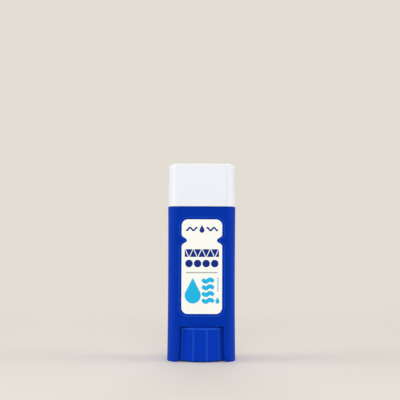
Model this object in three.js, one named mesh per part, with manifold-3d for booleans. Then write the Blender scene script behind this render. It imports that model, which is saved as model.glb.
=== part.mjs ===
// Twist-up glue stick with a flattened barrel, a pull-off cap and a ribbed knob between two legs.
// Millimetres. X is the width, the front faces -Y, Z is up, and the legs stand on Z = 0.

import * as THREE from 'three';
import * as BufferGeometryUtils from 'three/addons/utils/BufferGeometryUtils.js';
import Module from 'manifold-3d';

const wasm = await Module();
wasm.setup();

// Barrel
const width = 32.8;
const depth = 22;
const cornerWidth = 5.4;
const cornerDepth = 9.3;
const seamHeight = 74.1;
const waistHeight = 38;
const waistNarrowing = 0.28;
const baseFlare = 0.1;
const floorThickness = 2.25;

// Neck and cap
const neckHeight = 6.5;
const neckWall = 1.15;
const neckChamfer = 0.3;
const beadHeight = 0.12;
const beadWidth = 0.8;
const beadCrestWidth = 0.24;
const beadDrop = 2.2;
const capHeight = 20.7;
const capWall = 1.3;
const capRoof = 1.5;
const capDraft = 0.34;
const capEdgeRadius = 2.1;
const capInnerEdgeRadius = 0.6;
const capClearance = 0.22;
const seamGap = 0.1;

// Windows and legs
const legWidth = 6.15;
const windowHeight = 16.7;
const windowFlare = 0.6;
const windowFlareHeight = 6;
const legChamferWidth = 0.9;
const legChamferHeight = 0.75;

// Knob
const knobProud = 2.6;
const knobDraft = 0.45;
const knobRibs = 13;
const knobRibRise = 0.4;
const knobRibWidth = 1.7;
const knobRibTurn = 10.5;
const knobFootGap = 0.5;
const knobTopGap = 0.4;
const knobSideGap = 0.55;
const knobTopEdge = 1.1;
const knobFootEdge = 0.45;
const knobWall = 1.4;
const knobWeb = 1.6;
const knobHubWall = 1.8;
const knobHubFootGap = 5.65;
const knobSpokes = 6;
const knobSpokeThickness = 1;
const socketSides = 6;
const bearingGap = 0.2;

// Spindle
const coreRadius = 2;
const threadRise = 1.2;
const threadLead = 3;
const threadRootWidth = 1.5;
const threadCrestWidth = 0.8;
const threadRunOutTurns = 0.5;
const threadEndRise = 0.12;
const toothSink = 0.4;
const journalRadius = 3.4;
const journalClearance = 0.15;
const collarRise = 2;
const collarHeight = 1.4;
const plugClearance = 0.12;
const spindleTopCover = 4.5;

// Carrier
const carrierClearance = 0.25;
const carrierFootGap = 0.5;
const carrierSkirt = 8.4;
const carrierFloor = 1.6;
const cupDepth = 6;
const cupWall = 0.8;
const nutClearance = 0.3;
const nutFlankClearance = 0.2;
const nutWall = 1.6;
const anchorRibThickness = 0.9;
const anchorRibHeight = 4;

// Glue
const glueClearance = 0.3;
const glueRecess = 1.6;
const glueCrown = 0.5;
const glueCrownRun = 2;
const glueEdge = 1;
const glueBoreClearance = 0.5;

// Labels
const labelSideMargin = 1.3;
const labelTopGap = 6.2;
const labelBottomGap = 6.1;
const labelCorner = 2.5;
const labelNotchDrop = 9.8;
const labelNotchDepth = 2.4;
const labelNotchHalfHeight = 3.1;
const labelThickness = 0.15;
const recessMargin = 1;
const recessDepth = 0.35;

// Bends of the label's notch, as shares of its half height, and the most that a corner or rib takes up
const notchShoulder = 0.35;
const notchWaist = 0.45;
const mostCornerShare = 0.9;
const mostRibShare = 0.8;

// Fineness of round shapes
const cornerFacets = 5;
const casingSteps = 12;
const edgeSteps = 5;
const ribFacets = 3;
const knobEdgeSteps = 3;
const roundSides = 48;
const threadSides = 16;
const leastCorner = 0.5;
const overcut = 1;
const mergeDistance = 1e-5;

// Colours and gloss
const barrelBlue = { color: 0x0a36a8, roughness: 0.32 };
const knobBlue = { color: 0x0a36b1, roughness: 0.32 };
const capWhite = { color: 0xf1f3f8, roughness: 0.35 };
const mechanismWhite = { color: 0xf2f2ee, roughness: 0.4 };
const glueWhite = { color: 0xf6f4ea, roughness: 0.45 };
const labelWhite = { color: 0xfdfefa, roughness: 0.45 };

// What follows from the sizes above
const halfWidth = width / 2;
const halfDepth = depth / 2;
const cornerX = Math.min(cornerWidth, halfWidth * mostCornerShare);
const cornerY = Math.min(cornerDepth, halfDepth * mostCornerShare);
const neckInset = capWall + capClearance;
const chamberInset = neckInset + neckWall;
const chamberBottom = windowHeight + floorThickness;
const neckTop = seamHeight + neckHeight;
const capBottom = seamHeight + seamGap;
const totalHeight = seamHeight + capHeight;
const windowHalfWidth = halfWidth - legWidth;
const knobRadius = halfDepth + knobProud;
const knobTop = windowHeight - knobTopGap;
const pocketRadius = knobRadius + knobSideGap;
const threadRadius = coreRadius + threadRise;
const toothRoot = coreRadius - toothSink;
const collarRadius = journalRadius + collarRise;
const collarBottom = chamberBottom + bearingGap;
const collarTop = collarBottom + collarHeight;
const plugBottom = knobFootGap + knobHubFootGap;
const hubRadius = journalRadius + knobHubWall;
const hubTop = windowHeight - bearingGap;
const carrierBottom = collarTop + carrierFootGap;
const carrierFloorBottom = carrierBottom + carrierSkirt;
const cupFloor = carrierFloorBottom + carrierFloor;
const cupTop = cupFloor + cupDepth;
const glueTop = neckTop - glueRecess;
const spindleTop = glueTop - spindleTopCover;
const nutRadius = threadRadius + nutClearance + nutWall;
const labelHalfWidth = halfWidth - cornerX - labelSideMargin;
const labelTop = seamHeight - labelTopGap;
const labelBottom = windowHeight + labelBottomGap;

// A closed three.js geometry as a solid that can be cut and joined.
function solid(geometry) {
  geometry.deleteAttribute('normal');
  geometry.deleteAttribute('uv');
  const merged = BufferGeometryUtils.mergeVertices(geometry, mergeDistance);
  const mesh = new wasm.Mesh({
    numProp: 3,
    vertProperties: new Float32Array(merged.attributes.position.array),
    triVerts: new Uint32Array(merged.index.array),
  });
  return new wasm.Manifold(mesh);
}

// A finished solid as a named mesh with its own material.
function piece(name, body, finish) {
  const result = body.getMesh();
  const geometry = new THREE.BufferGeometry();
  geometry.setAttribute('position', new THREE.BufferAttribute(new Float32Array(result.vertProperties), 3));
  geometry.setIndex(new THREE.BufferAttribute(new Uint32Array(result.triVerts), 1));
  geometry.computeVertexNormals();
  const mesh = new THREE.Mesh(geometry, new THREE.MeshStandardMaterial({ ...finish, metalness: 0 }));
  mesh.name = name;
  return mesh;
}

// The barrel's plan outline, drawn in by an inset: a rectangle with elliptical corners.
function plan(inset) {
  const rx = Math.max(cornerX - inset, leastCorner);
  const ry = Math.max(cornerY - inset, leastCorner);
  const x = halfWidth - inset - rx;
  const y = halfDepth - inset - ry;
  const outline = new THREE.Shape();
  outline.absellipse(x, y, rx, ry, 0, Math.PI / 2);
  outline.absellipse(-x, y, rx, ry, Math.PI / 2, Math.PI);
  outline.absellipse(-x, -y, rx, ry, Math.PI, 1.5 * Math.PI);
  outline.absellipse(x, -y, rx, ry, 1.5 * Math.PI, 2 * Math.PI);
  return outline;
}

// A solid through a list of levels, each with its height and the outline's scale across X and Y there.
function stack(outline, levels, curveSegments = cornerFacets) {
  const steps = levels.length - 1;
  const settings = { depth: steps, steps, bevelEnabled: false, curveSegments };
  const geometry = new THREE.ExtrudeGeometry(outline, settings);
  const position = geometry.attributes.position;
  for (let i = 0; i < position.count; i += 1) {
    const level = levels[Math.round(position.getZ(i))];
    const { scaleX = 1, scaleY = 1 } = level;
    position.setXYZ(i, position.getX(i) * scaleX, position.getY(i) * scaleY, level.z);
  }
  return solid(geometry);
}

// A level of the plan outline at an inset, drawn in by a further distance.
function planLevel(z, inset, drawnIn = 0) {
  return {
    z,
    scaleX: 1 - drawnIn / (halfWidth - inset),
    scaleY: 1 - drawnIn / (halfDepth - inset),
  };
}

// Levels of a rounded top edge of the plan outline, which starts already drawn in by a distance.
function roundedTop(top, radius, inset, drawnIn, steps) {
  const levels = [];
  for (let i = 0; i <= steps; i += 1) {
    const angle = (Math.PI / 2) * (i / steps);
    const rise = radius * Math.sin(angle);
    levels.push(planLevel(top - radius + rise, inset, drawnIn + radius * (1 - Math.cos(angle))));
  }
  return levels;
}

// A straight solid of the plan outline at an inset.
function prism(inset, bottom, top) {
  return stack(plan(inset), [planLevel(bottom, inset), planLevel(top, inset)]);
}

// A round rod along Z.
function rod(radius, bottom, top, sides = roundSides) {
  const geometry = new THREE.CylinderGeometry(radius, radius, top - bottom, sides);
  geometry.rotateX(Math.PI / 2);
  geometry.translate(0, 0, (bottom + top) / 2);
  return solid(geometry);
}

// A box from its centre in plan, its size and its two heights.
function block(x, y, sizeX, sizeY, bottom, top) {
  const geometry = new THREE.BoxGeometry(sizeX, sizeY, top - bottom);
  geometry.translate(x, y, (bottom + top) / 2);
  return solid(geometry);
}

// A solid of an outline drawn in X and Z, from one Y to another.
function slab(outline, front, back, curveSegments = cornerFacets) {
  const geometry = new THREE.ExtrudeGeometry(outline, {
    depth: back - front,
    steps: 1,
    bevelEnabled: false,
    curveSegments,
  });
  geometry.rotateX(Math.PI / 2);
  geometry.translate(0, back, 0);
  return solid(geometry);
}

// A left-hand helical ridge from a height, over a number of turns. Its tooth profile is extruded along the
// turning angle and bent round the axis. At each end its crest sinks over runOut turns.
function ridge(root, crest, rootWidth, crestWidth, start, turns, runOut) {
  const profile = new THREE.Shape();
  profile.moveTo(root, -rootWidth / 2);
  profile.lineTo(crest, -crestWidth / 2);
  profile.lineTo(crest, crestWidth / 2);
  profile.lineTo(root, rootWidth / 2);
  profile.closePath();
  const steps = Math.round(turns * threadSides);
  const geometry = new THREE.ExtrudeGeometry(profile, { depth: turns, steps, bevelEnabled: false });
  const position = geometry.attributes.position;
  for (let i = 0; i < position.count; i += 1) {
    const turn = position.getZ(i);
    const end = Math.min(turn, turns - turn);
    const rise = runOut > 0 ? Math.min(1, threadEndRise + end / runOut) : 1;
    const radius = root + (position.getX(i) - root) * rise;
    const angle = -2 * Math.PI * turn;
    const z = start + threadLead * turn + position.getY(i);
    position.setXYZ(i, radius * Math.cos(angle), radius * Math.sin(angle), z);
  }
  return solid(geometry);
}

// Half width of the barrel at a height: slightly waisted, and flared at the base.
function barrelHalfWidth(z) {
  const waist = halfWidth - waistNarrowing;
  const base = halfWidth + baseFlare;
  const below = Math.max(0, (waistHeight - z) / waistHeight);
  const above = Math.max(0, (z - waistHeight) / (seamHeight - waistHeight));
  return waist + (base - waist) * below ** 2 + waistNarrowing * above ** 2;
}

// Window outline in X and Z: straight sides that flare towards the table, and a chamfer under each leg.
function windowOutline() {
  const foot = windowHalfWidth + windowFlare;
  const side = [
    [foot + legChamferWidth, -overcut],
    [foot + legChamferWidth, 0],
    [foot, legChamferHeight],
    [windowHalfWidth, Math.min(windowFlareHeight, windowHeight / 2)],
    [windowHalfWidth, windowHeight],
  ];
  const outline = new THREE.Shape();
  outline.moveTo(...side[0]);
  side.slice(1).forEach(([x, z]) => outline.lineTo(x, z));
  side.toReversed().forEach(([x, z]) => outline.lineTo(-x, z));
  outline.closePath();
  return outline;
}

// Bottle-shaped label outline in X and Z, grown outwards by a margin.
function bottleOutline(margin) {
  const side = labelHalfWidth + margin;
  const top = labelTop + margin;
  const bottom = labelBottom - margin;
  const notch = labelTop - labelNotchDrop;
  const waist = side - labelNotchDepth;
  const rise = labelNotchHalfHeight;
  const shoulder = rise * notchShoulder;
  const round = rise * notchWaist;
  const radius = Math.min(labelCorner + margin, side * mostCornerShare);
  const outline = new THREE.Shape();
  outline.moveTo(0, bottom);
  outline.lineTo(side - radius, bottom);
  outline.absarc(side - radius, bottom + radius, radius, -Math.PI / 2, 0);
  outline.lineTo(side, notch - rise);
  outline.bezierCurveTo(side, notch - shoulder, waist, notch - round, waist, notch);
  outline.bezierCurveTo(waist, notch + round, side, notch + shoulder, side, notch + rise);
  outline.lineTo(side, top - radius);
  outline.absarc(side - radius, top - radius, radius, 0, Math.PI / 2);
  outline.lineTo(-side + radius, top);
  outline.absarc(-side + radius, top - radius, radius, Math.PI / 2, Math.PI);
  outline.lineTo(-side, notch + rise);
  outline.bezierCurveTo(-side, notch + shoulder, -waist, notch + round, -waist, notch);
  outline.bezierCurveTo(-waist, notch - round, -side, notch - shoulder, -side, notch - rise);
  outline.lineTo(-side, bottom + radius);
  outline.absarc(-side + radius, bottom + radius, radius, Math.PI, 1.5 * Math.PI);
  outline.closePath();
  return outline;
}

// Knob outline in plan: arcs of a drum, with a rounded rib between each two.
function knobOutline() {
  const drum = knobRadius - knobRibRise;
  const pitch = (2 * Math.PI) / knobRibs;
  const halfRib = Math.min(knobRibWidth / drum, pitch * mostRibShare) / 2;
  const front = -Math.PI / 2 + THREE.MathUtils.degToRad(knobRibTurn);
  const outline = new THREE.Shape();
  for (let i = 0; i < knobRibs; i += 1) {
    const rib = front + i * pitch;
    const peak = drum + 2 * knobRibRise;
    const end = rib + halfRib;
    outline.absarc(0, 0, drum, rib - pitch + halfRib, rib - halfRib);
    outline.quadraticCurveTo(
      peak * Math.cos(rib),
      peak * Math.sin(rib),
      drum * Math.cos(end),
      drum * Math.sin(end),
    );
  }
  return outline;
}

// Casing, legs, floor and neck in one moulding.
function makeBarrel() {
  const casing = [];
  for (let i = 0; i <= casingSteps; i += 1) {
    const z = (seamHeight * i) / casingSteps;
    casing.push({ z, scaleX: barrelHalfWidth(z) / halfWidth });
  }
  const beadTop = neckTop - beadDrop;
  const beadInset = neckInset - beadHeight;
  const neck = stack(plan(neckInset), [
    planLevel(seamHeight - overcut, neckInset),
    planLevel(neckTop - neckChamfer, neckInset),
    planLevel(neckTop, neckInset, neckChamfer),
  ]);
  const bead = stack(plan(beadInset), [
    planLevel(beadTop - beadWidth, beadInset, beadHeight),
    planLevel(beadTop - (beadWidth + beadCrestWidth) / 2, beadInset),
    planLevel(beadTop - (beadWidth - beadCrestWidth) / 2, beadInset),
    planLevel(beadTop, beadInset, beadHeight),
  ]);
  const recess = bottleOutline(recessMargin);
  return stack(plan(0), casing)
    .add(neck)
    .add(bead)
    .subtract(prism(chamberInset, chamberBottom, neckTop + overcut))
    .subtract(rod(journalRadius + journalClearance, windowHeight - overcut, chamberBottom + overcut))
    .subtract(slab(windowOutline(), -depth, depth))
    .subtract(rod(pocketRadius, -overcut, windowHeight, 2 * roundSides))
    .subtract(slab(recess, -depth, -halfDepth + recessDepth))
    .subtract(slab(recess, halfDepth - recessDepth, depth));
}

// Cap with drafted sides and a rounded top edge, hollow to the roof.
function makeCap() {
  const outer = [
    planLevel(capBottom, 0),
    ...roundedTop(totalHeight, capEdgeRadius, 0, capDraft, edgeSteps),
  ];
  const inner = [
    planLevel(capBottom - overcut, capWall),
    planLevel(capBottom + neckHeight, capWall),
    ...roundedTop(totalHeight - capRoof, capInnerEdgeRadius, capWall, capDraft, 2),
  ];
  return stack(plan(0), outer).subtract(stack(plan(capWall), inner));
}

// A level of the knob's ribbed outline, drawn in by a distance.
function knobLevel(z, drawnIn = 0) {
  const scale = 1 - drawnIn / knobRadius;
  return { z, scaleX: scale, scaleY: scale };
}

// Knob: ribbed drum with drafted sides and a rounded top edge, a web, and a hub with a six-sided socket,
// braced by spokes.
function makeKnob() {
  const levels = [knobLevel(knobFootGap, knobFootEdge), knobLevel(knobFootGap + knobFootEdge)];
  for (let i = 0; i <= knobEdgeSteps; i += 1) {
    const angle = (Math.PI / 2) * (i / knobEdgeSteps);
    const rise = knobTopEdge * Math.sin(angle);
    const drawnIn = knobDraft + knobTopEdge * (1 - Math.cos(angle));
    levels.push(knobLevel(knobTop - knobTopEdge + rise, drawnIn));
  }
  const drum = stack(knobOutline(), levels, ribFacets);
  const wallRadius = knobRadius - knobRibRise - knobDraft - knobWall;
  const webBottom = knobTop - knobWeb;
  let body = drum
    .subtract(rod(wallRadius, knobFootGap - overcut, webBottom))
    .add(rod(hubRadius, plugBottom, hubTop));
  const spokeMiddle = (wallRadius + hubRadius) / 2;
  const spokeLength = wallRadius - hubRadius + 2 * knobSpokeThickness;
  const spokeTop = webBottom + knobWeb / 2;
  for (let i = 0; i < knobSpokes; i += 1) {
    const spoke = block(spokeMiddle, 0, spokeLength, knobSpokeThickness, plugBottom, spokeTop);
    body = body.add(spoke.rotate([0, 0, (360 * i) / knobSpokes]));
  }
  const socketRadius = journalRadius + plugClearance;
  return body.subtract(rod(socketRadius, plugBottom - overcut, hubTop + overcut, socketSides));
}

// Spindle: six-sided plug for the knob, journal in the floor's hole, collar and thread.
function makeSpindle() {
  const journalBottom = hubTop + bearingGap / 2;
  const turns = (spindleTop - threadRootWidth - carrierBottom) / threadLead;
  const tooth = [toothRoot, threadRadius, threadRootWidth, threadCrestWidth];
  return rod(journalRadius, plugBottom, chamberBottom, socketSides)
    .add(rod(journalRadius, journalBottom, collarBottom + collarHeight / 2))
    .add(rod(collarRadius, collarBottom, collarTop))
    .add(rod(coreRadius, collarTop - collarHeight / 2, spindleTop, threadSides))
    .add(ridge(...tooth, carrierBottom, turns, threadRunOutTurns));
}

// Carrier: skirt that runs in the chamber, floor, cup for the glue, and the nut, whose groove is cut on for a
// turn past each of its ends.
function makeCarrier() {
  const inset = chamberInset + carrierClearance;
  const cupInset = inset + cupWall;
  const nut = rod(nutRadius, carrierBottom, carrierFloorBottom + carrierFloor / 2);
  const bore = rod(coreRadius + nutClearance, carrierBottom - overcut, cupFloor + overcut, threadSides);
  const grooveTurns = Math.ceil((carrierSkirt + carrierFloor) / threadLead) + 2;
  const groove = ridge(
    toothRoot,
    threadRadius + nutClearance,
    threadRootWidth + 2 * nutFlankClearance,
    threadCrestWidth + 2 * nutFlankClearance,
    carrierBottom - threadLead,
    grooveTurns,
    0,
  );
  const ribReach = halfWidth - cupInset + cupWall / 2;
  const rib = (side) => block(
    (side * (nutRadius + ribReach)) / 2,
    0,
    ribReach - nutRadius,
    anchorRibThickness,
    cupFloor - carrierFloor / 2,
    cupFloor + anchorRibHeight,
  );
  return prism(inset, carrierBottom, cupTop)
    .subtract(prism(cupInset, carrierBottom - overcut, carrierFloorBottom))
    .subtract(prism(cupInset, cupFloor, cupTop + overcut))
    .add(nut)
    .add(rib(-1))
    .add(rib(1))
    .subtract(bore)
    .subtract(groove);
}

// Glue bar: narrow in the cup, full above it, bored for the spindle and slotted for the carrier's ribs.
function makeGlueBar() {
  const inset = chamberInset + glueClearance;
  const footInset = chamberInset + carrierClearance + cupWall + glueClearance;
  const boreRadius = threadRadius + glueBoreClearance;
  const slotWidth = anchorRibThickness + 2 * glueClearance;
  const body = stack(plan(inset), [
    planLevel(cupTop + glueClearance, inset),
    ...roundedTop(glueTop - glueCrown, glueEdge, inset, 0, 3),
    planLevel(glueTop, inset, glueEdge + glueCrownRun),
  ]);
  const foot = prism(footInset, cupFloor + glueClearance, cupTop + overcut);
  const slots = block(0, 0, width, slotWidth, cupFloor - overcut, cupFloor + anchorRibHeight + glueClearance);
  return body
    .add(foot)
    .subtract(rod(boreRadius, cupFloor - overcut, spindleTop + glueClearance, roundSides / 2))
    .subtract(slots);
}

// Sticker on the recess floor of the front (side = -1) or the back (side = 1).
function makeLabel(side) {
  const seat = side * (halfDepth - recessDepth);
  const face = seat + side * labelThickness;
  return slab(bottleOutline(0), Math.min(seat, face), Math.max(seat, face));
}

const stick = new THREE.Group();
stick.add(
  piece('barrel', makeBarrel(), barrelBlue),
  piece('cap', makeCap(), capWhite),
  piece('knob', makeKnob(), knobBlue),
  piece('spindle', makeSpindle(), mechanismWhite),
  piece('carrier', makeCarrier(), mechanismWhite),
  piece('glue_bar', makeGlueBar(), glueWhite),
  piece('label_front', makeLabel(-1), labelWhite),
  piece('label_back', makeLabel(1), labelWhite),
);

export default stick;
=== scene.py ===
import math

import bmesh
import bpy
from mathutils import Euler, Matrix, Vector


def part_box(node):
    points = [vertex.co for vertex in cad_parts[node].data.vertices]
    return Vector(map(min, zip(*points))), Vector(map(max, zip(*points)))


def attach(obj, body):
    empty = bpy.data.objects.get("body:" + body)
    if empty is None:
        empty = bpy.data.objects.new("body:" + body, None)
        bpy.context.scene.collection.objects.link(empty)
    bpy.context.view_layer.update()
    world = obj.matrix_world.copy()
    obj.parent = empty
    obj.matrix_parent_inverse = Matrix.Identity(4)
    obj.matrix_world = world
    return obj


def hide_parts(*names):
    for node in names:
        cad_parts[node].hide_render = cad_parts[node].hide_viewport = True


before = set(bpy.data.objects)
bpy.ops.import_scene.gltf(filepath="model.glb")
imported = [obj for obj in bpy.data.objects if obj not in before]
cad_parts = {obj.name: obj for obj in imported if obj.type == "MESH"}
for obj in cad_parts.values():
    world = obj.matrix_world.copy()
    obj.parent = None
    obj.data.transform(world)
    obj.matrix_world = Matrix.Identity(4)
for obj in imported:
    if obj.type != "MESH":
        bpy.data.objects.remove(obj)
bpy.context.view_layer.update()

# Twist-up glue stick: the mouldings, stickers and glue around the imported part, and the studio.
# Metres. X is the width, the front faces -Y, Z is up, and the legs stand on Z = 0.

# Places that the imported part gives
_, barrel_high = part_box("barrel")
cap_low, cap_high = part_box("cap")
knob_low, knob_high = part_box("knob")
glue_low, glue_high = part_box("glue_bar")
sticker_low, sticker_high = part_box("label_front")

# Barrel
HALF_WIDTH = cap_high.x
HALF_DEPTH = cap_high.y
CORNER_WIDTH = 0.0054
CORNER_DEPTH = 0.0093
SEAM_GAP = 0.0001
SEAM = cap_low.z - SEAM_GAP
BASE_FLARE = barrel_high.x - HALF_WIDTH
WAIST_HEIGHT = 0.038
WAIST_NARROWING = 0.00015
FLOOR_THICKNESS = 0.00225
PANEL_MARGIN = 0.0012
MOULDED_EDGE = 0.00018
SEAM_EDGE = 0.00005
SHOULDER_DROP = 0.00012
SHOULDER = SEAM - SHOULDER_DROP
RECESS_EDGE = 0.00028
LEAST_SHARP_ANGLE = math.radians(24)
LEAST_CREASE_ANGLE = math.radians(40)

# Neck
NECK_TOP = barrel_high.z
NECK_INSET = 0.00152
NECK_WALL = 0.00115
BEAD_DROP = 0.0022
BEAD_WIDTH = 0.0008
BEAD_HEIGHT = 0.00012

# Window between the legs, and the pocket for the knob
BEARING_GAP = 0.0002
WINDOW_TOP = knob_high.z + BEARING_GAP
WINDOW_HALF_WIDTH = HALF_WIDTH - 0.0059
WINDOW_FLARE = 0.0006
WINDOW_FLARE_HEIGHT = 0.006
LEG_CHAMFER_WIDTH = 0.0009
LEG_CHAMFER_HEIGHT = 0.00075
LEG_REACH = 0.0145
LEG_ROWS = (0, LEG_CHAMFER_HEIGHT, 0.0025, 0.0042, WINDOW_FLARE_HEIGHT, 0.0095, 0.0131, WINDOW_TOP)
KNOB_SIDE_GAP = 0.00055
JOURNAL_HOLE = 0.00355
CHAMBER_ROW_DROP = 0.006

# Cap
CAP_DRAFT = 0.00034
CAP_EDGE = 0.0021
CAP_WALL = 0.0013
CAP_ROOF = 0.0015
CAP_INNER_EDGE = 0.0006
CAP_DISH = 0.00012
CAP_DISH_ROWS = ((0.008, 1), (0.006, 0.8), (0.004, 0.35))
CAP_SIDE_ROWS = (0.75, 0.5, 0.25, 0)
CAP_FIELD_INSET = CORNER_WIDTH * 0.8

# Knob
KNOB_PROUD = 0.0026
KNOB_DRAFT = 0.00045
KNOB_RADIUS = HALF_DEPTH + KNOB_PROUD
KNOB_TOP_GAP = 0.0003
KNOB_TOP = WINDOW_TOP - KNOB_TOP_GAP
RIBS = 13
RIB_RISE = 0.0004
RIB_WIDTH = 0.0017
RIB_TURN = math.radians(10.5)
RIB_FULLNESS = 0.8
KNOB_TOP_EDGE = 0.0011
KNOB_FOOT_EDGE = 0.00045
# Painted highlight on the knob: where its band centres on the top edge's rounding, as a share of it, and how
# strong it is there and on the rib crests
PAINTED_HIGHLIGHT_HEIGHT = 0.4
EDGE_HIGHLIGHT = 1.4
RIB_HIGHLIGHT = 0.5
KNOB_WALL = 0.0014
KNOB_WEB = 0.0016
HUB_FOOT = knob_low.z + 0.00565
HUB_RADIUS = 0.0052
HUB_EDGE = 0.0003
SOCKET_RADIUS = 0.00352
SPOKES = 6
SPOKE_THICKNESS = 0.001

# Glue
GLUE_EDGE = 0.001
GLUE_CROWN = 0.0005
GLUE_INSET = 0.00297
GLUE_FOOT_INSET = 0.00402
GLUE_FOOT_TOP = 0.03735
GLUE_BORE = 0.0037
GLUE_BORE_TOP = 0.0748
GLUE_SLOT_WIDTH = 0.0015
GLUE_SLOT_HEIGHT = 0.0043
GLUE_SLOT_LENGTH = 0.04
GLUE_SLOT_OVERRUN = 0.001
GLUE_TOP_CLOSING = 0.98
GLUE_ROWS = 6

# Stickers and the recesses they lie in
STICKER_CORNER = 0.003
STICKER_EDGE = 0.00004
STICKER_LIFT = 0.00001
NOTCH_DROP = 0.01004
NOTCH_DEPTH = 0.0025
NOTCH_HALF_HEIGHT = 0.0031
NOTCH_SHOULDER = 0.35
NOTCH_WAIST = 0.45
RECESS_MARGIN = 0.001
RECESS_DEPTH = 0.00035

# Fineness of round shapes
CORNER_STEPS = 24
CASING_STEPS = 14
ARC_STEPS = 8
CAP_INNER_STEPS = 4
POCKET_STEPS = 14
NOTCH_STEPS = 12
RIB_STEPS = 12
HOLE_POINTS = 48
BEVEL_STEPS = 3

RING = 4 * (CORNER_STEPS + 1)
POCKET_RADIUS = KNOB_RADIUS + KNOB_SIDE_GAP
PANEL_HALF_WIDTH = HALF_WIDTH - CORNER_WIDTH
MICRO = 1e-6
# Name of the corner attribute that carries painted highlight: how much lighter blue a corner is painted
PAINTED_HIGHLIGHT = "painted_highlight"


# Mesh helpers

def skin(bm, across, up, place):
    """A grid of cells whose corner (i, j) lies at place(i, j)."""
    grid = bmesh.ops.create_grid(bm, x_segments=across, y_segments=up, size=0.5)
    for vert in grid["verts"]:
        i = round((vert.co.x + 0.5) * across)
        j = round((vert.co.y + 0.5) * up)
        vert.co = place(i, j)


def weld(bm):
    """Joins corners that lie on each other and turns the faces outwards."""
    bmesh.ops.remove_doubles(bm, verts=bm.verts, dist=MICRO)
    bmesh.ops.recalc_face_normals(bm, faces=bm.faces)


def edges_where(bm, holds):
    """The edges that have holds(point) true at both ends."""
    return [edge for edge in bm.edges if all(holds(vert.co) for vert in edge.verts)]


def open_edges(bm, holds):
    """The edges of the open borders that have holds(point) true at both ends."""
    return [edge for edge in edges_where(bm, holds) if edge.is_boundary]


def outline_ring(bm, points):
    """A closed ring of edges through points."""
    count = len(points)
    made = bmesh.ops.create_circle(bm, segments=count, radius=1)["verts"]
    for vert in made:
        turn = math.atan2(-vert.co.x, vert.co.y) / math.tau
        vert.co = points[round(turn * count) % count]
    return list({edge for vert in made for edge in vert.link_edges})


def fill_round(bm, border, ring):
    """Fills a flat field between a border and a ring inside it, with one face on each side of the middle."""
    crossing = [edge for edge in border if edge.verts[0].co.x * edge.verts[1].co.x < -MICRO ** 2]
    halves = bmesh.ops.bisect_edges(bm, edges=crossing, cuts=1)["geom_split"]
    border = [edge for edge in border if edge.is_valid and edge not in crossing]
    border += [part for part in halves if isinstance(part, bmesh.types.BMEdge)]
    border_verts = {vert for edge in border for vert in edge.verts}
    ring_verts = {vert for edge in ring for vert in edge.verts}
    bridges = []
    for end in (-1, 1):
        def along(vert):
            return end * (vert.co.y + vert.co.z)
        outer = max((v for v in border_verts if abs(v.co.x) < MICRO), key=along)
        inner = max((v for v in ring_verts if abs(v.co.x) < MICRO), key=along)
        bridges.append(bm.edges.new((outer, inner)))
    for side in (-1, 1):
        half = [e for e in set(border) | set(ring) if side * sum(v.co.x for v in e.verts) > MICRO]
        bmesh.ops.contextual_create(bm, geom=half + bridges)


def soften(bm, width, holds=lambda edge: True, steps=BEVEL_STEPS):
    """Rounds the sharp edges for which holds(edge) is true."""
    sharp = [
        edge for edge in bm.edges
        if edge.is_manifold and edge.calc_face_angle() > LEAST_SHARP_ANGLE and holds(edge)
    ]
    bmesh.ops.bevel(
        bm, geom=sharp, offset=width, offset_type="OFFSET", segments=steps, profile=0.5,
        affect="EDGES", material=-1, clamp_overlap=True,
    )


def mark_painted_highlight(bm, share):
    """Keeps on each corner how much painted highlight, a lighter blue, its colour takes, from share(point).
    """
    layer = bm.verts.layers.float.new(PAINTED_HIGHLIGHT)
    for vert in bm.verts:
        vert[layer] = min(1, max(0, share(vert.co)))


def shade(made):
    """Smooth shading with sharp edges, in which flat fields stay flat."""
    made.data.shade_smooth()
    made.data.set_sharp_from_angle(angle=LEAST_CREASE_ANGLE)
    shading = made.modifiers.new("flat fields stay flat", "WEIGHTED_NORMAL")
    shading.keep_sharp = True


def piece(bm, name, body, slot, material, *nodes):
    """The mesh as a named piece on its body, in the place of CAD nodes."""
    mesh = bpy.data.meshes.new(name)
    bm.to_mesh(mesh)
    bm.free()
    mesh.materials.append(material)
    made = bpy.data.objects.new(name, mesh)
    bpy.context.scene.collection.objects.link(made)
    shade(made)
    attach(made, body)
    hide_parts(*nodes)
    return made


# Outlines

def plan_point(column, z, inset=0.0, narrowing=0.0):
    """A point of the plan outline, a rectangle with elliptical corners, drawn in by an inset."""
    corner, step = divmod(column % RING, CORNER_STEPS + 1)
    if corner % 2:
        step = CORNER_STEPS - step
    angle = math.pi / 2 * step / CORNER_STEPS
    x = PANEL_HALF_WIDTH + (CORNER_WIDTH - narrowing - inset) * math.cos(angle)
    y = HALF_DEPTH - CORNER_DEPTH + (CORNER_DEPTH - inset) * math.sin(angle)
    side = 1 if corner in (0, 3) else -1
    front = 1 if corner in (0, 1) else -1
    return Vector((side * x, front * y, z))


def narrowing_at(z):
    """How much slimmer than at the seam each side of the barrel is: waisted, and flared at the base."""
    below = max(0, (WAIST_HEIGHT - z) / WAIST_HEIGHT)
    above = max(0, (z - WAIST_HEIGHT) / (SHOULDER - WAIST_HEIGHT))
    return WAIST_NARROWING * (1 - above ** 2) - (WAIST_NARROWING + BASE_FLARE) * below ** 2


def window_edge(z):
    """Half width of the window at a height."""
    if z <= 0:
        return WINDOW_HALF_WIDTH + WINDOW_FLARE + LEG_CHAMFER_WIDTH
    share = (WINDOW_FLARE_HEIGHT - z) / (WINDOW_FLARE_HEIGHT - LEG_CHAMFER_HEIGHT)
    return WINDOW_HALF_WIDTH + WINDOW_FLARE * min(1, max(0, share))


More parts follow.
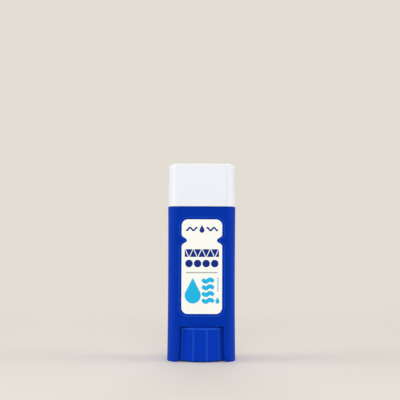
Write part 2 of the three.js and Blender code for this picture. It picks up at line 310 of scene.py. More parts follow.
def leg_point(column, z):
    """A point of the plan outline beside the window, with the columns spread from the window's edge."""
    narrowing = narrowing_at(z)
    nominal = plan_point(column, z, 0, narrowing)
    edge, reach = window_edge(z), LEG_REACH
    if abs(nominal.x) >= reach:
        return nominal
    x = reach - (reach - abs(nominal.x)) * (reach - edge) / (reach - PANEL_HALF_WIDTH)
    rise = min(1, max(0, (x - PANEL_HALF_WIDTH) / (CORNER_WIDTH - narrowing)))
    y = HALF_DEPTH - CORNER_DEPTH * (1 - math.sqrt(1 - rise ** 2))
    return Vector((math.copysign(x, nominal.x), math.copysign(y, nominal.y), z))


def quarter_round(radius, steps=ARC_STEPS):
    """Points (in, up) of a quarter circle that starts upright and ends level, from its lower end."""
    angles = [math.pi / 2 * i / steps for i in range(steps + 1)]
    return [(radius * (1 - math.cos(a)), radius * math.sin(a)) for a in angles]


def bottle_outline(y, margin=0.0):
    """Closed outline of the bottle-shaped sticker in a plane across Y, grown outwards by a margin."""
    side = sticker_high.x + margin
    top, bottom = sticker_high.z + margin, sticker_low.z - margin
    corner = STICKER_CORNER + margin
    notch = sticker_high.z - NOTCH_DROP
    half = [(0, bottom)]
    for inward, rise in quarter_round(corner)[::-1]:
        half.append((side - inward, bottom + corner - rise))
    for end in (-1, 1):
        for i in range(NOTCH_STEPS + 1)[::-end]:
            t = i / NOTCH_STEPS
            # A curve with level handles, from the side at t = 0 to the notch's waist at t = 1
            depth = NOTCH_DEPTH * (3 * t ** 2 - 2 * t ** 3)
            lift = (1 - t) ** 3 + 3 * t * (1 - t) ** 2 * NOTCH_SHOULDER + 3 * t ** 2 * (1 - t) * NOTCH_WAIST
            half.append((side - depth, notch + end * NOTCH_HALF_HEIGHT * lift))
    for inward, rise in quarter_round(corner):
        half.append((side - inward, top - corner + rise))
    half.append((0, top))
    outline = []
    for x, z in half + [(-x, z) for x, z in half[-2:0:-1]]:
        if not outline or (Vector((x, y, z)) - outline[-1]).length > MICRO:
            outline.append(Vector((x, y, z)))
    return outline


# Shader sheets

class Wire:
    """A node's output with Python's arithmetic: each operator adds a Math node."""

    def __init__(self, sheet, socket):
        self.sheet = sheet
        self.socket = socket

    def math(self, operation, *values, clamp=False):
        settings = {"operation": operation, "use_clamp": clamp}
        return self.sheet.add("ShaderNodeMath", settings, dict(enumerate(values)))

    def __add__(self, other):
        return self.math("ADD", self, other)

    def __sub__(self, other):
        return self.math("SUBTRACT", self, other)

    def __rsub__(self, other):
        return self.math("SUBTRACT", other, self)

    def __mul__(self, other):
        return self.math("MULTIPLY", self, other)

    def __truediv__(self, other):
        return self.math("DIVIDE", self, other)

    def __abs__(self):
        return self.math("ABSOLUTE", self)

    def __neg__(self):
        return self.math("MULTIPLY", self, -1)

    __radd__ = __add__
    __rmul__ = __mul__

    def root(self):
        return self.math("SQRT", self)

    def sine(self):
        return self.math("SINE", self)

    def cosine(self):
        return self.math("COSINE", self)

    def most(self, other):
        return self.math("MAXIMUM", self, other)

    def least(self, other):
        return self.math("MINIMUM", self, other)

    def held(self):
        """Kept from 0 to 1."""
        return self.math("ADD", self, 0, clamp=True)

    def folded(self, pitch):
        """Repeated along its values, from minus to plus half a pitch."""
        return self.math("WRAP", self, pitch / 2, -pitch / 2)


class Sheet:
    """A node tree, and one method that adds any node to it."""

    def __init__(self, tree):
        self.tree = tree

    @staticmethod
    def socket(sockets, key):
        if isinstance(key, int):
            return sockets[key]
        return next(found for found in sockets if found.enabled and found.name == key)

    def feed(self, node, values):
        for key, value in values.items():
            socket = self.socket(node.inputs, key)
            if isinstance(value, Wire):
                self.tree.links.new(value.socket, socket)
            else:
                socket.default_value = value

    def add(self, kind, settings=None, values=None, output=0):
        node = self.tree.nodes.new(kind)
        for name, value in (settings or {}).items():
            setattr(node, name, value)
        self.feed(node, values or {})
        return Wire(self, self.socket(node.outputs, output))


class Finish(Sheet):
    """A material's sheet: its shader, and the patterns that the finishes share."""

    def __init__(self, name, **constants):
        self.material = bpy.data.materials.new(name)
        self.material.use_nodes = True
        super().__init__(self.material.node_tree)
        self.shader = self.tree.nodes["Principled BSDF"]
        self.feed(self.shader, constants)

    def shade(self, **links):
        """Feeds the shader's own sockets, whose names are given with underlines for spaces."""
        self.feed(self.shader, {name.replace("_", " "): value for name, value in links.items()})
        return self.material

    def place(self):
        """Place on the piece in metres."""
        return self.add("ShaderNodeTexCoord", output="Object")

    def split(self, vector):
        """A vector's X, Y and Z."""
        first = self.add("ShaderNodeSeparateXYZ", values={0: vector})
        outputs = first.socket.node.outputs
        return [Wire(self, outputs[i]) for i in range(3)]

    def stretched(self, vector, scale):
        return self.add("ShaderNodeMapping", values={"Vector": vector, "Scale": scale})

    def noise(self, vector, size, detail=3.0, roughness=0.5):
        """Cloudy pattern from 0 to 1 with features of about a size, in metres."""
        values = {"Vector": vector, "Scale": 1 / size, "Detail": detail, "Roughness": roughness}
        return self.add("ShaderNodeTexNoise", values=values, output="Fac")

    def blend(self, factor, first, second):
        """The first colour where factor is 0 and the second where it is 1."""
        values = {"Factor": factor, "A": first, "B": second}
        return self.add("ShaderNodeMix", {"data_type": "RGBA"}, values, "Result")

    def bump(self, height, distance, normal=None):
        """Relief of a height pattern from 0 to 1 over a distance in metres."""
        values = {"Height": height, "Distance": distance, "Strength": 1.0}
        if normal:
            values["Normal"] = normal
        return self.add("ShaderNodeBump", values=values)


# Drawing in millimetres on a flat field: each shape is its distance, below 0 inside it

def disc(x, z, radius):
    return (x * x + z * z).root() - radius


def bar(x, z, half_width, half_height, corner):
    """A bar with round corners."""
    right = (abs(x) - (half_width - corner)).most(0)
    up = (abs(z) - (half_height - corner)).most(0)
    return (right * right + up * up).root() - corner


def triangle(x, z, half_width, height):
    """A triangle standing on a level base, centred on its own height."""
    slope = math.hypot(half_width, height)
    side = (abs(x) * height + (z - height / 2) * half_width) / slope
    return side.most(-z - height / 2)


def tear(x, z, radius, height):
    """A tear: a disc, with straight sides that run on from it to a point above."""
    point = height - radius
    seat = radius ** 2 / point
    half_width = radius * math.sqrt(1 - (radius / point) ** 2)
    up = z + height / 2 - radius
    return disc(x, up, radius).least(triangle(x, up - (point + seat) / 2, half_width, point - seat))


def wave(x, z, length, swing, half_stroke, reach):
    """A wavy line with round ends, so far to each side of its middle."""
    pace = math.tau / length
    slope = (x * pace).cosine() * (swing * pace)
    line = abs(z - (x * pace).sine() * swing) / (slope * slope + 1).root() - half_stroke
    end = swing * math.sin(pace * reach)
    ends = disc(x - reach, z - end, half_stroke).least(disc(x + reach, z + end, half_stroke))
    return line.most(abs(x) - reach).least(ends)


def ink(distance, edge):
    """1 inside a shape and 0 outside, with a slightly soft edge in millimetres."""
    return (0.5 - distance / edge).held()


# Materials

def moulded_blue(name, colour):
    """Satin royal blue plastic: cloudy gloss, flow lines along Z, fine grain, scuffs, and a painted highlight
    of lighter blue on marked rims, edges and rib crests.
    """
    sheet = Finish(name, **{
        "IOR": 1.5, "Specular IOR Level": 0.12, "Specular Tint": (0.08, 0.32, 1.0, 1.0),
        "Diffuse Roughness": 0.8,
    })
    place = sheet.place()
    cloud = sheet.noise(place, size=0.012, detail=2)
    flow = sheet.noise(sheet.stretched(place, (1, 1, 0.06)), size=0.0016, detail=3, roughness=0.6)
    grain = sheet.noise(place, size=0.00016, detail=2, roughness=0.7)
    peel = sheet.noise(place, size=0.0021, detail=1)
    scuff = sheet.noise(sheet.stretched(place, (0.5, 0.5, 2.4)), size=0.0022, detail=6, roughness=0.75)
    shade = (cloud * 0.5 + flow * 0.5 - 0.25).held()
    # Painted highlight: the marked corners blend the base colour to a lighter blue, broken up by the scuff
    # pattern
    painted_highlight = sheet.add("ShaderNodeAttribute", {"attribute_name": PAINTED_HIGHLIGHT}, output="Fac")
    deep = tuple(c * 0.9 for c in colour) + (1,)
    light = tuple(c * 1.12 for c in colour) + (1,)
    plain = sheet.blend(shade, deep, light)
    relief = sheet.bump(peel, distance=0.000012)
    relief = sheet.bump(grain, distance=0.0000022, normal=relief)
    return sheet.shade(
        Base_Color=sheet.blend((painted_highlight * (0.5 + scuff)).held(), plain, PAINTED_HIGHLIGHT_BLUE),
        Roughness=0.6 + cloud * 0.06 + grain * 0.05 + (scuff - 0.62).most(0) * 0.5,
        Normal=relief,
    )


def moulded_white(name, colour, scatter):
    """Satin white plastic that lets a little light in."""
    sheet = Finish(name, **{
        "IOR": 1.5, "Specular IOR Level": 0.35, "Diffuse Roughness": 0.8, "Subsurface Weight": scatter,
        "Subsurface Radius": (1.0, 0.95, 0.9), "Subsurface Scale": 0.0008,
    })
    place = sheet.place()
    cloud = sheet.noise(place, size=0.011, detail=2)
    grain = sheet.noise(place, size=0.00017, detail=2, roughness=0.7)
    peel = sheet.noise(place, size=0.0024, detail=1)
    scuff = sheet.noise(sheet.stretched(place, (0.6, 0.6, 2)), size=0.0024, detail=6, roughness=0.75)
    cool = tuple(c * s for c, s in zip(colour, (0.985, 0.99, 1.0))) + (1,)
    warm = tuple(colour) + (1,)
    relief = sheet.bump(peel, distance=0.00001)
    relief = sheet.bump(grain, distance=0.0000025, normal=relief)
    return sheet.shade(
        Base_Color=sheet.blend(cloud, cool, warm),
        Roughness=0.33 + cloud * 0.08 + grain * 0.05 + (scuff - 0.62).most(0) * 0.6,
        Normal=relief,
    )


def waxy_glue(name, colour):
    """Soft solid glue: drawn streaks, small pits and a greasy, uneven gloss."""
    sheet = Finish(name, **{
        "IOR": 1.46, "Specular IOR Level": 0.4, "Subsurface Weight": 0.35,
        "Subsurface Radius": (1.0, 0.9, 0.7), "Subsurface Scale": 0.002,
    })
    place = sheet.place()
    streak = sheet.noise(sheet.stretched(place, (1, 1, 0.05)), size=0.0009, detail=4, roughness=0.6)
    cloud = sheet.noise(place, size=0.006, detail=3)
    smear = sheet.noise(sheet.stretched(place, (0.35, 1, 1)), size=0.0022, detail=3)
    pits = sheet.add("ShaderNodeTexVoronoi", values={"Vector": place, "Scale": 1 / 0.0026}, output="Distance")
    pit = (0.16 - pits).most(0) * 6
    pale = tuple(c * 1.03 for c in colour) + (1,)
    dull = tuple(c * s for c, s in zip(colour, (0.93, 0.92, 0.86))) + (1,)
    relief = sheet.bump(streak, distance=0.00005)
    relief = sheet.bump(smear - pit, distance=0.00012, normal=relief)
    return sheet.shade(
        Base_Color=sheet.blend((cloud * 0.6 + streak * 0.4).held(), dull, pale),
        Roughness=0.34 + smear * 0.22 + pit * 0.3,
        Normal=relief,
    )


def film(sheet, place):
    """Relief of a printed plastic film: faint fibres and a slow ripple."""
    fibre = sheet.noise(sheet.stretched(place, (1, 1, 0.5)), size=0.00022, detail=2, roughness=0.6)
    ripple = sheet.noise(place, size=0.005, detail=1)
    relief = sheet.bump(ripple, distance=0.00001)
    return fibre, sheet.bump(fibre, distance=0.0000018, normal=relief)


def front_print(name, paper, navy, cyan, grey):
    """Printed front sticker: navy flags and discs, cyan tears and waves, and dotted lines."""
    sheet = Finish(name, **{"IOR": 1.5, "Specular IOR Level": 0.1})
    place = sheet.place()
    across, _, height = sheet.split(place)
    x = across * 1000
    top = sticker_high.z * 1000

    def below(distance):
        """Height over a line that lies so far below the sticker's top."""
        return height * 1000 - (top - distance)

    z = below(ORNAMENT_DROP)
    dark = wave(abs(x) - ORNAMENT_WAVE_ASIDE, z, *ORNAMENT_WAVE)
    dark = dark.least(tear(x, z - ORNAMENT_LIFT, *ORNAMENT_TEAR))
    row_end = abs(x) - 2 * FLAG_PITCH
    staggered = (x - FLAG_PITCH / 2).folded(FLAG_PITCH)
    z = below(FLAGS_DROP)
    flags = triangle(x.folded(FLAG_PITCH), z, *FLAG).least(triangle(staggered, -z, *FLAG))
    dark = dark.least(flags.most(row_end))
    discs = disc(staggered, below(DISCS_DROP), DISC_RADIUS)
    dark = dark.least(discs.most(row_end))
    dots = disc(x.folded(DOT_PITCH), below(RULE_DROP), DOT_RADIUS).most(abs(x) - RULE_HALF_WIDTH)
    z = below(EMBLEM_DROP)
    bright = tear(x - BIG_TEAR_PLACE, z, *BIG_TEAR)
    bright = bright.least(tear(x - SMALL_TEAR_PLACE[0], z - SMALL_TEAR_PLACE[1], *SMALL_TEAR))
    waves = wave(x - WAVES_PLACE, (z - WAVES_PITCH / 2).folded(WAVES_PITCH), *WAVE)
    bright = bright.least(waves.most(abs(z) - 2 * WAVES_PITCH))
    column = disc(x - COLUMN_PLACE[0], z.folded(DOT_PITCH), DOT_RADIUS)
    bright = bright.least(column.most(abs(z - COLUMN_PLACE[1]) - COLUMN_HALF_HEIGHT))

    colour = sheet.blend(ink(dark, INK_EDGE), paper, navy)
    colour = sheet.blend(ink(dots, INK_EDGE), colour, grey)
    colour = sheet.blend(ink(bright, INK_EDGE), colour, cyan)
    printed = ink(dark.least(bright).least(dots), INK_RELIEF_EDGE)
    fibre, relief = film(sheet, place)
    return sheet.shade(
        Base_Color=colour,
        Roughness=0.42 + fibre * 0.08 - printed * 0.1,
        Normal=sheet.bump(printed, distance=0.000006, normal=relief),
    )


def back_print(name, paper, cyan, grey):
    """Printed back sticker: plain rules over a coloured band."""
    sheet = Finish(name, **{"IOR": 1.5, "Specular IOR Level": 0.4})
    place = sheet.place()
    across, _, height = sheet.split(place)
    x = across * 1000
    z = height * 1000 - sticker_high.z * 1000
    from_rules = z + BACK_RULES_DROP
    rules = bar(x, from_rules.folded(BACK_RULES_PITCH), *BACK_RULE).most(abs(from_rules) - BACK_RULES_REACH)
    band = bar(x, z + BACK_BAND_DROP, *BACK_BAND)
    head = bar(x, z + BACK_HEAD_DROP, *BACK_HEAD)
    colour = sheet.blend(ink(rules, INK_EDGE), paper, grey)
    colour = sheet.blend(ink(band.least(head), INK_EDGE), colour, cyan)
    fibre, relief = film(sheet, place)
    return sheet.shade(Base_Color=colour, Roughness=0.42 + fibre * 0.08, Normal=relief)


# Print, in millimetres: a drop is measured from the sticker's top, and a place from the middle of its row.
# A wave has its length, swing, half stroke and reach, a tear its radius and height, and a flag its half
# width and height.
ORNAMENT_DROP = 4.6
ORNAMENT_WAVE_ASIDE = 4.9
ORNAMENT_WAVE = (3.2, 0.6, 0.42, 2.4)
ORNAMENT_TEAR = (1.2, 3.8)
ORNAMENT_LIFT = 0.1
FLAGS_DROP = 16.1
FLAG_PITCH = 4.1
FLAG = (1.65, 3.7)
DISCS_DROP = 21.1
DISC_RADIUS = 1.8
RULE_DROP = 25.4
RULE_HALF_WIDTH = 7.6
DOT_PITCH = 0.95
DOT_RADIUS = 0.36
EMBLEM_DROP = 34.0
BIG_TEAR_PLACE = -4.3
BIG_TEAR = (3.85, 12.3)
SMALL_TEAR_PLACE = (7.5, -4.6)
SMALL_TEAR = (1.0, 3.2)
WAVES_PLACE = 2.95
WAVES_PITCH = 3.2
WAVE = (4.2, 0.45, 1.0, 2.05)
COLUMN_PLACE = (7.7, 2.85)
COLUMN_HALF_HEIGHT = 3.325
INK_EDGE = 0.07
INK_RELIEF_EDGE = 0.12

# Back print, in millimetres: a bar has its half width, half height and corner
BACK_HEAD_DROP = 4.6
BACK_HEAD = (5.2, 0.5, 0.45)
BACK_RULES_DROP = 23.5
BACK_RULES_PITCH = 2.4
BACK_RULES_REACH = 8.2
BACK_RULE = (7.0, 0.16, 0.1)
BACK_BAND_DROP = 38.5
BACK_BAND = (7.4, 2.6, 0.9)

# Colours
BLUE = (0.0018, 0.041, 0.465)
KNOB_BLUE = (0.0026, 0.047, 0.55)
# Lighter blue painted as a highlight on rims, edges and rib crests
PAINTED_HIGHLIGHT_BLUE = (0.022, 0.115, 0.62, 1)
CAP_WHITE = (0.86, 0.88, 0.92)
PLAIN_WHITE = (0.85, 0.85, 0.82)
GLUE = (0.87, 0.85, 0.77)
PAPER = (0.965, 0.975, 0.905, 1)
NAVY = (0.0005, 0.02, 0.22, 1)
CYAN = (0.012, 0.47, 0.79, 1)
GREY = (0.25, 0.245, 0.22, 1)
STUDIO = (0.775, 0.722, 0.658)
FLOOR = (0.86, 0.805, 0.735)


# Pieces

def field_faces(bm, front, low, high):
    """The faces of the flat front (-1) or back (1) field of the barrel between two heights."""
    found = []
    for face in bm.faces:
        centre = face.calc_center_median()
        flat = abs(centre.x) < MICRO and abs(centre.y - front * HALF_DEPTH) < MICRO
        if flat and low < centre.z < high:
            found.append(face)
    return found


def build_barrel(material):
    """Casing, legs, floor and neck in one moulding, with a bottle-shaped recess front and back."""
    bm = bmesh.new()
    panel_low = sticker_low.z - RECESS_MARGIN - PANEL_MARGIN
    panel_high = sticker_high.z + RECESS_MARGIN + PANEL_MARGIN
    panel_step = (panel_high - panel_low) / CASING_STEPS
    casing = [WINDOW_TOP] + [panel_low + panel_step * i for i in range(CASING_STEPS + 1)] + [SHOULDER]

    def casing_point(column, row):
        z = casing[row]
        point = plan_point(column, z, 0, narrowing_at(z))
        return leg_point(column, z) if row == 0 else point

    skin(bm, RING, len(casing) - 1, casing_point)
    quarter = CORNER_STEPS + 1

    def leg_skin(first):
        skin(
            bm, 2 * quarter - 1, len(LEG_ROWS) - 1,
            lambda i, j: leg_point(first + i, LEG_ROWS[j]),
        )

    leg_skin(quarter)
    leg_skin(3 * quarter)

    # The window's walls and ceiling, from the front edge through the round pocket to the back edge
    rows = len(LEG_ROWS)

    def tunnel_point(station, row):
        z = LEG_ROWS[row] if row < rows else LEG_ROWS[2 * rows - 1 - row]
        side = 1 if row < rows else -1
        edge = window_edge(z)
        opening = math.asin(edge / POCKET_RADIUS)
        if station in (0, POCKET_STEPS + 2):
            border = leg_point(CORNER_STEPS, z)
            return Vector((side * border.x, border.y * (-1 if station == 0 else 1), z))
        turn = (opening - math.pi / 2) * (1 - 2 * (station - 1) / POCKET_STEPS)
        return Vector((side * POCKET_RADIUS * math.cos(turn), POCKET_RADIUS * math.sin(turn), z))

    skin(bm, POCKET_STEPS + 2, 2 * rows - 1, tunnel_point)
    weld(bm)

    # Leg ends
    for side in (-1, 1):
        foot = open_edges(bm, lambda p: p.z < MICRO and side * p.x > 0)
        bmesh.ops.contextual_create(bm, geom=foot)

    # Shoulder, neck with its bead, and the chamber down to the floor
    bead_top = NECK_TOP - BEAD_DROP
    levels = [(0, SHOULDER), (NECK_INSET, SHOULDER)]
    for i in range(ARC_STEPS + 1):
        share = i / ARC_STEPS
        bulge = BEAD_HEIGHT * math.sin(math.pi * share)
        levels.append((NECK_INSET - bulge, bead_top - BEAD_WIDTH * (1 - share)))
    levels += [(NECK_INSET, NECK_TOP), (NECK_INSET + NECK_WALL, NECK_TOP)]
    chamber_low = WINDOW_TOP + FLOOR_THICKNESS
    levels += [(NECK_INSET + NECK_WALL, NECK_TOP - CHAMBER_ROW_DROP), (NECK_INSET + NECK_WALL, chamber_low)]
    skin(bm, RING, len(levels) - 1, lambda i, j: plan_point(i, levels[j][1], levels[j][0]))
    weld(bm)

    # Floor with the hole for the spindle
    holes = []
    for z in (WINDOW_TOP, chamber_low):
        ceiling = [f for f in bm.faces if all(abs(v.co.z - z) < MICRO for v in f.verts)]
        bmesh.ops.delete(bm, geom=ceiling, context="FACES")
        border = open_edges(bm, lambda p: abs(p.z - z) < MICRO)
        turns = [math.tau * i / HOLE_POINTS for i in range(HOLE_POINTS)]
        circle = [Vector((JOURNAL_HOLE * math.sin(t), JOURNAL_HOLE * math.cos(t), z)) for t in turns]
        hole = outline_ring(bm, circle)
        holes += hole
        fill_round(bm, border, hole)
    bmesh.ops.bridge_loops(bm, edges=holes)

    # Recesses for the stickers
    for front in (-1, 1):
        bmesh.ops.delete(bm, geom=field_faces(bm, front, panel_low, panel_high), context="FACES")
        border = open_edges(bm, lambda p: abs(p.y - front * HALF_DEPTH) < MICRO)
        rim = outline_ring(bm, bottle_outline(front * HALF_DEPTH, RECESS_MARGIN))
        fill_round(bm, border, rim)
        grown = bmesh.ops.extrude_edge_only(bm, edges=rim)["geom"]
        sunk = {part for part in grown if isinstance(part, bmesh.types.BMVert)}
        bmesh.ops.translate(bm, verts=list(sunk), vec=(0, -front * RECESS_DEPTH, 0))
        floor = [edge for edge in bm.edges if set(edge.verts) <= sunk]
        bmesh.ops.contextual_create(bm, geom=floor)
    weld(bm)
    soften(bm, RECESS_EDGE, on_recess_rim)
    soften(bm, SEAM_EDGE, lambda edge: abs(edge.verts[0].co.z - SHOULDER) < MICRO)
    soften(bm, MOULDED_EDGE, lambda edge: stands_out(edge.verts[0].co, chamber_low))
    # Painted highlight: a lighter blue line on the rounded rims of the sticker recesses
    mark_painted_highlight(bm, rim_highlight_share)
    return piece(bm, "barrel_moulding", "barrel", "barrel_blue", material, "barrel")


def in_panel(point, rim=0.0):
    """Whether a point lies within the recess of a sticker and a rim round it, as seen from the front."""
    reach = RECESS_MARGIN + rim + MICRO
    beside = abs(point.x) < sticker_high.x + reach
    return beside and sticker_low.z - reach < point.z < sticker_high.z + reach


def rim_highlight_share(point):
    """Painted highlight: 1 on the rounded rim of a sticker's recess, between the face and the side wall,
    whose colour is painted a lighter blue.
    """
    depth = HALF_DEPTH - abs(point.y)
    return in_panel(point, RECESS_EDGE) and MICRO < depth < RECESS_EDGE - MICRO


def on_recess_rim(edge):
    """Whether an edge is the outer rim of a sticker's recess."""
    return all(abs(abs(v.co.y) - HALF_DEPTH) < MICRO and in_panel(v.co) for v in edge.verts)


def stands_out(point, chamber_low):
    """Whether a point lies on an edge that shows: not in the chamber, a hole, a recess or at the seam."""
    in_hole = math.hypot(point.x, point.y) < JOURNAL_HOLE + MICRO
    on_floor = abs(point.z - chamber_low) < MICRO and abs(point.y) < HALF_DEPTH - NECK_INSET
    in_recess = in_panel(point) and abs(point.y) > HALF_DEPTH - RECESS_DEPTH - MICRO
    at_seam = abs(point.z - SHOULDER) < 2 * SEAM_EDGE
    return not (in_hole or on_floor or in_recess or at_seam)


def build_cap(material):
    """Pull-off cap with drafted sides, a rounded top edge and a hollow inside."""
    bm = bmesh.new()
    top = cap_high.z
    profile = [(inset + CAP_DRAFT, top - CAP_DISH * share) for inset, share in CAP_DISH_ROWS]
    for inward, rise in quarter_round(CAP_EDGE)[::-1]:
        profile.append((CAP_DRAFT + inward, top - CAP_EDGE + rise))
    for share in CAP_SIDE_ROWS:
        profile.append((CAP_DRAFT * share, cap_low.z + (top - CAP_EDGE - cap_low.z) * share))
    profile.append((CAP_WALL, cap_low.z))
    roof = top - CAP_ROOF
    profile.append((CAP_WALL, cap_low.z + (NECK_TOP - SEAM)))
    for inward, rise in quarter_round(CAP_INNER_EDGE, CAP_INNER_STEPS):
        profile.append((CAP_WALL + CAP_DRAFT + inward, roof - CAP_INNER_EDGE + rise))

    def cap_point(column, row):
        inset, z = profile[row]
        if inset <= CAP_FIELD_INSET:
            return plan_point(column, z, inset)
        base = plan_point(column, z, CAP_FIELD_INSET)
        further = inset - CAP_FIELD_INSET
        share = 1 - further / (HALF_DEPTH - CAP_FIELD_INSET)
        return Vector((base.x - math.copysign(further, base.x), base.y * share, z))

    skin(bm, RING, len(profile) - 1, cap_point)
    weld(bm)
    for z in (profile[0][1], roof):
        bmesh.ops.contextual_create(bm, geom=open_edges(bm, lambda p: abs(p.z - z) < MICRO))
    weld(bm)
    soften(bm, SEAM_EDGE)
    return piece(bm, "cap_moulding", "cap", "cap_white", material, "cap")


def knob_radius(turn):
    """Radius of the ribbed drum at a turn, in radians."""
    pitch = math.tau / RIBS
    from_rib = abs((turn + math.pi / 2 - RIB_TURN + pitch / 2) % pitch - pitch / 2)
    half_rib = RIB_WIDTH / 2 / KNOB_RADIUS
    rise = math.cos(math.pi / 2 * from_rib / half_rib) ** RIB_FULLNESS if from_rib < half_rib else 0
    return KNOB_RADIUS - RIB_RISE * (1 - rise)


def knob_columns():
    """Turns of the knob's columns in radians: fine over each rib and at each spoke's sides."""
    pitch = math.tau / RIBS
    half_rib = RIB_WIDTH / 2 / KNOB_RADIUS
    turns = []
    for rib in range(RIBS):
        middle = rib * pitch + RIB_TURN - math.pi / 2
        turns += [middle + half_rib * (2 * i / RIB_STEPS - 1) for i in range(RIB_STEPS + 1)]
        gap = pitch - 2 * half_rib
        turns += [middle + half_rib + gap * i / RIB_STEPS for i in range(1, RIB_STEPS)]
    return turns


def build_knob(material):
    """Ribbed drum with rounded edges, a web near its top, and a hub with a six-sided socket and spokes."""
    bm = bmesh.new()
    turns = knob_columns()
    foot, top = knob_low.z, KNOB_TOP
    wall = KNOB_RADIUS - RIB_RISE - KNOB_DRAFT - KNOB_WALL
    web = top - KNOB_WEB
    ribbed = []
    for inward, rise in quarter_round(KNOB_FOOT_EDGE)[::-1]:
        ribbed.append((inward, foot + KNOB_FOOT_EDGE - rise))
    for inward, rise in quarter_round(KNOB_TOP_EDGE):
        ribbed.append((KNOB_DRAFT + inward, top - KNOB_TOP_EDGE + rise))
    levels = [("round", wall, foot)]
    levels += [("ribbed", inward, z) for inward, z in ribbed]
    levels += [
        ("round", HUB_RADIUS, top),
        ("round", HUB_RADIUS, knob_high.z - HUB_EDGE),
        ("round", HUB_RADIUS - HUB_EDGE, knob_high.z),
        ("socket", 0, knob_high.z),
        ("socket", 0, HUB_FOOT),
        ("round", HUB_RADIUS, HUB_FOOT),
        ("round", HUB_RADIUS, web),
        ("round", wall, web),
        ("round", wall, foot),
    ]

    def knob_point(column, row):
        form, size, z = levels[row]
        turn = turns[column % len(turns)]
        if form == "ribbed":
            radius = knob_radius(turn) - size
        elif form == "socket":
            flat = math.tau / SPOKES
            radius = SOCKET_RADIUS * math.cos(flat / 2) / math.cos((turn + flat / 2) % flat - flat / 2)
        else:
            radius = size
        return Vector((radius * math.cos(turn), radius * math.sin(turn), z))

    # Painted highlight on the knob: lighter blue on the rib crests, and in a band on the top edge's rounding
    # where a highlight falls
    def painted_highlight(point):
        radius = math.hypot(point.x, point.y)
        side_height = top - KNOB_TOP_EDGE - foot - KNOB_FOOT_EDGE
        drawn_in = KNOB_DRAFT * min(1, max(0, (point.z - foot - KNOB_FOOT_EDGE) / side_height))
        crest = RIB_HIGHLIGHT * ((radius + drawn_in - KNOB_RADIUS) / (0.5 * RIB_RISE) + 1)
        up = (point.z - top) / KNOB_TOP_EDGE + 1
        edge = EDGE_HIGHLIGHT * (1 - abs(up - PAINTED_HIGHLIGHT_HEIGHT) / PAINTED_HIGHLIGHT_HEIGHT)
        return max(crest, edge if radius > wall else 0)

    skin(bm, len(turns), len(levels) - 1, knob_point)
    weld(bm)
    mark_painted_highlight(bm, painted_highlight)
    knob = piece(bm, "knob_moulding", "knob", "knob_blue", material, "knob")

    # Spokes, joined to the wall, the web and the hub
    spokes = bmesh.new()
    reach = wall - HUB_RADIUS + 2 * SPOKE_THICKNESS
    for i in range(SPOKES):
        middle = (wall + HUB_RADIUS) / 2
        height = web - HUB_FOOT + KNOB_WEB / 2
        box = Matrix.Rotation(math.tau * i / SPOKES, 4, "Z")
        box @= Matrix.Translation((middle, 0, HUB_FOOT + height / 2))
        box @= Matrix.Diagonal((reach, SPOKE_THICKNESS, height, 1))
        bmesh.ops.create_cube(spokes, size=1, matrix=box)
    join_solid(knob, spokes, "UNION")
    return knob


def join_solid(target, bm, operation):
    """Joins a mesh to a piece, or cuts it out, and keeps the result."""
    mesh = bpy.data.meshes.new("tool")
    bm.to_mesh(mesh)
    bm.free()
    tool = bpy.data.objects.new("tool", mesh)
    bpy.context.scene.collection.objects.link(tool)
    cut = target.modifiers.new("cut", "BOOLEAN")
    cut.object = tool
    cut.operation = operation
    cut.solver = "EXACT"
    target.modifiers.remove(target.modifiers[0])
    graph = bpy.context.evaluated_depsgraph_get()
    result = bpy.data.meshes.new_from_object(target.evaluated_get(graph))
    target.modifiers.remove(cut)
    old = target.data
    target.data = result
    bpy.data.meshes.remove(old)
    bpy.data.objects.remove(tool)
    bpy.data.meshes.remove(mesh)
    result.name = target.name
    shade(target)


